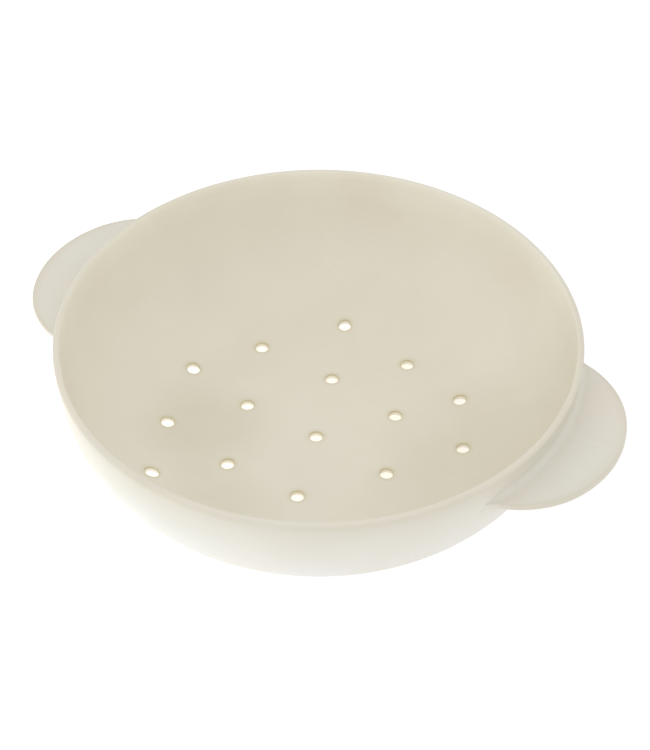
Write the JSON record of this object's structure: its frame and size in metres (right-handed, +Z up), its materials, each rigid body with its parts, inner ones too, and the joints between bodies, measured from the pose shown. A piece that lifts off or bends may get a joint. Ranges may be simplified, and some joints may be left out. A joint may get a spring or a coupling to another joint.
{
  "type": "cheese mould",
  "caption": "Round shallow white plastic cheese mould: flat perforated floor, large curve up into a flared wall, rounded lip and two flat lifting ears.",
  "frame": {"origin": "on the axis of the bowl, in the plane of its underside", "axes": "+Z up along the axis of the bowl, +X out along the middle of the right ear, +Y level and square to the ears"},
  "size_m": [0.256, 0.21, 0.06],
  "materials": {
    "natural_plastic": "smooth moulded natural white plastic, half matte, slightly milky"
  },
  "bodies": {
    "root": {"strainer_floor": "natural_plastic", "side_wall": "natural_plastic", "rounded_lip": "natural_plastic", "ear_left": "natural_plastic", "ear_right": "natural_plastic"}
  },
  "joints": []
}
